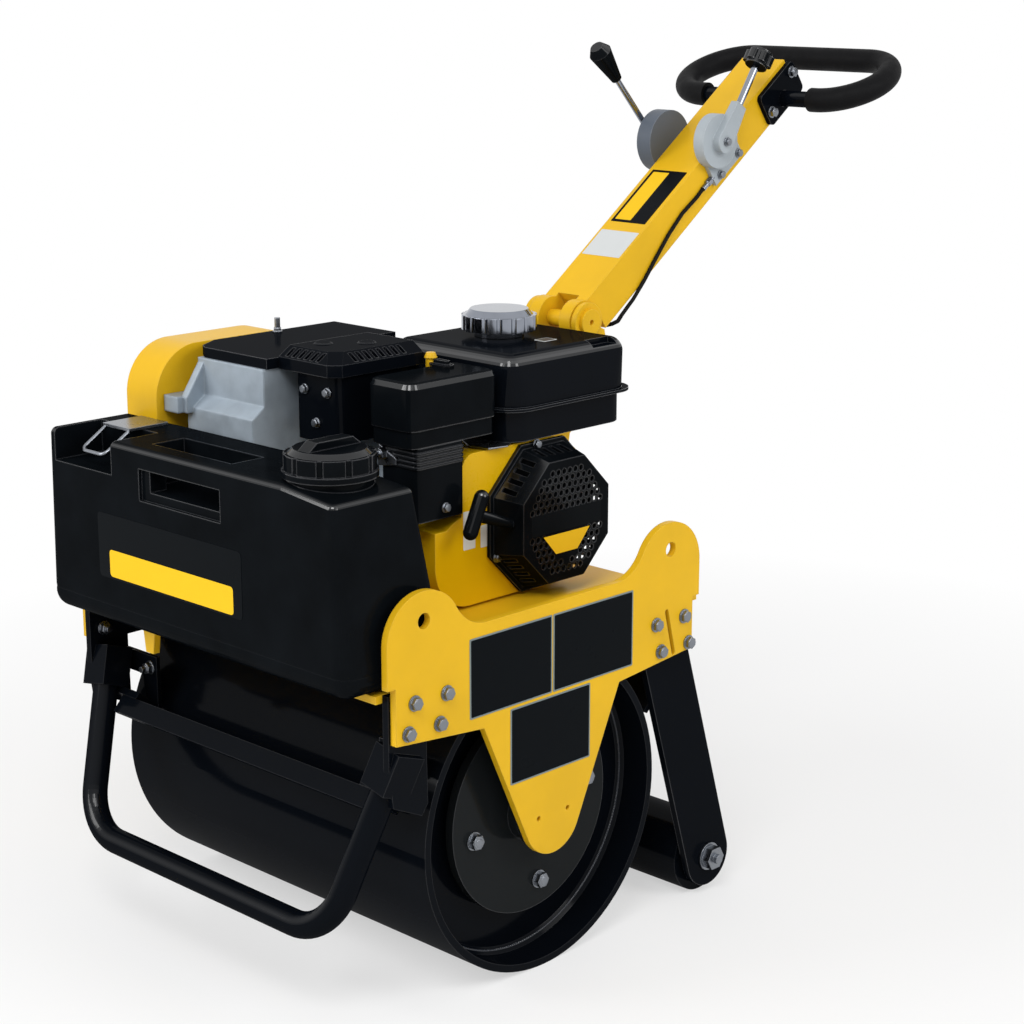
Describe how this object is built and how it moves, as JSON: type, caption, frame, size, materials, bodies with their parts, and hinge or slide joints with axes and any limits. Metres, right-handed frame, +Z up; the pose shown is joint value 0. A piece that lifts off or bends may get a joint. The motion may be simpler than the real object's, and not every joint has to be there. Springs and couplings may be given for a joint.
{
  "type": "walk-behind single-drum road roller",
  "caption": "Walk-behind vibrating road roller with a smooth steel drum between side plates, a rear support roller, petrol engine, water tank and a folding loop handle.",
  "frame": {"origin": "on the ground, under the middle of the machine's length and width", "axes": "+X forward towards the water tank, +Y to the machine's left, +Z up"},
  "size_m": [1.2834, 0.654, 1.1631],
  "materials": {
    "yellow_paint": "gloss enamel",
    "black_paint": "semi-gloss enamel",
    "gloss_black": "high-gloss enamel",
    "tank_plastic": "moulded satin polyethylene",
    "engine_plastic": "moulded satin plastic",
    "plated_steel": "zinc plated",
    "chrome": "polished",
    "cast_alloy": "as cast",
    "grey_paint": "satin paint",
    "rubber": "matte",
    "foam_grip": "matte foam"
  },
  "bodies": {
    "frame": {"side_plate_left": "yellow_paint", "side_plate_right": "yellow_paint", "stub_axle_left": "plated_steel", "stub_axle_right": "plated_steel", "deck": "yellow_paint", "rear_arm_left": "black_paint", "rear_arm_right": "black_paint", "rear_axle": "plated_steel", "guard_bracket_left": "black_paint", "guard_bracket_right": "black_paint", "front_guard": "black_paint", "front_scraper": "black_paint", "rear_scraper": "black_paint", "water_tank": "tank_plastic", "water_cap": "tank_plastic", "tank_bail": "plated_steel", "engine_block": "cast_alloy", "fan_shroud": "yellow_paint", "recoil_cover": "engine_plastic", "recoil_handle": "engine_plastic", "air_cleaner": "engine_plastic", "carburettor_cover": "engine_plastic", "muffler": "black_paint", "gear_housing": "cast_alloy", "hood": "black_paint", "belt_guard": "yellow_paint", "fuel_tank": "gloss_black", "fuel_cap": "chrome", "handle_post": "yellow_paint", "hinge_pin": "yellow_paint"},
    "drum": {"drum_shell": "black_paint", "exciter_housing": "black_paint", "drum_disc_left": "black_paint", "drum_disc_right": "black_paint", "drum_buffers": "rubber"},
    "rear_roller": {"rear_roller": "black_paint"},
    "handle": {"handle_arm": "yellow_paint", "lever_box_left": "grey_paint", "lever_left": "chrome", "knob_left": "engine_plastic", "lever_box_right": "grey_paint", "lever_right": "chrome", "knob_right": "engine_plastic", "control_cable": "rubber", "loop_bracket": "black_paint", "loop_tube": "black_paint", "loop_grip": "foam_grip"}
  },
  "joints": [
    {"name": "drum_spin", "type": "hinge", "parent": "frame", "child": "drum", "pos_m": [0.29922, 0, 0.2125], "axis": [0, 1, 0], "continuous": true},
    {"name": "rear_roller_spin", "type": "hinge", "parent": "frame", "child": "rear_roller", "pos_m": [-0.03078, 0, 0.054], "axis": [0, 1, 0], "continuous": true},
    {"name": "handle_fold", "type": "hinge", "parent": "frame", "child": "handle", "pos_m": [-0.05278, 0, 0.782], "axis": [0, 1, 0], "range_deg": [0, 55]}
  ]
}
